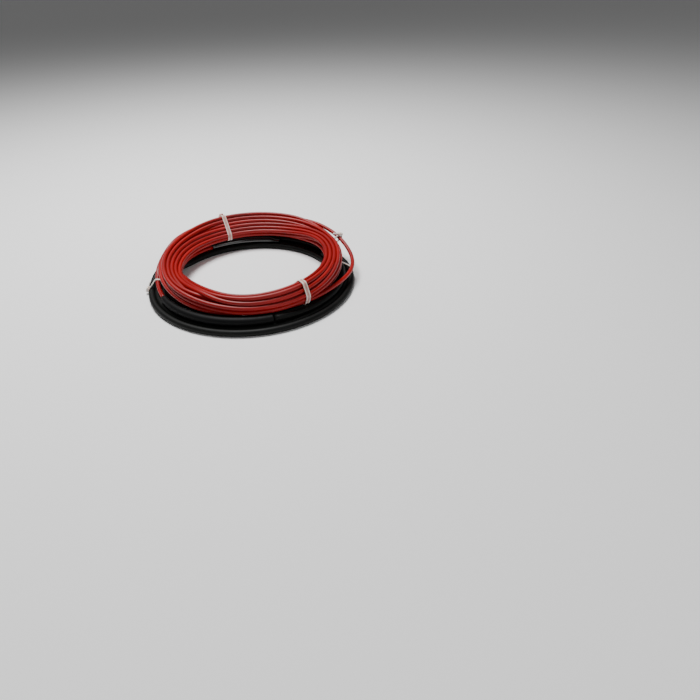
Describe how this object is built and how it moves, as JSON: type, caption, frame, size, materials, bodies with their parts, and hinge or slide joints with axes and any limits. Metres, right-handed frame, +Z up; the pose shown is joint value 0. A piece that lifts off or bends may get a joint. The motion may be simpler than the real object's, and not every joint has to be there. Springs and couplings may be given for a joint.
{
  "type": "coiled underfloor heating cable",
  "caption": "Coil of thin red electric underfloor heating cable, tied on the coil of its thicker black cold lead, with the splice sleeve and the end seal.",
  "frame": {"origin": "centre of the box's base, on the floor under the coil", "axes": "+Z up along the coil's axis, -Y towards the side where the splice sleeve shows, +X to the right as the picture shows the coil"},
  "size_m": [0.241, 0.232, 0.0441],
  "materials": {
    "heating_cable_jacket": "glossy red cable jacket",
    "cold_lead_jacket": "satin black cable jacket",
    "shrink_tube": "semi-matte black heat-shrink tube",
    "nylon": "natural nylon, slightly translucent"
  },
  "bodies": {
    "root": {"cold_lead_coil": "cold_lead_jacket", "cold_lead_inner_turn": "cold_lead_jacket", "cold_lead_upper_turn": "cold_lead_jacket", "splice_sleeve": "shrink_tube", "end_seal": "shrink_tube", "heating_cable_coil": "heating_cable_jacket", "heating_cable_loose_turn": "heating_cable_jacket", "heating_cable_feed": "heating_cable_jacket", "heating_cable_tail": "heating_cable_jacket", "cable_tie_heating_back": "nylon", "cable_tie_heating_front": "nylon", "cable_tie_lead_left": "nylon", "cable_tie_lead_right": "nylon", "cable_tie_loose_turn": "nylon"}
  },
  "joints": []
}
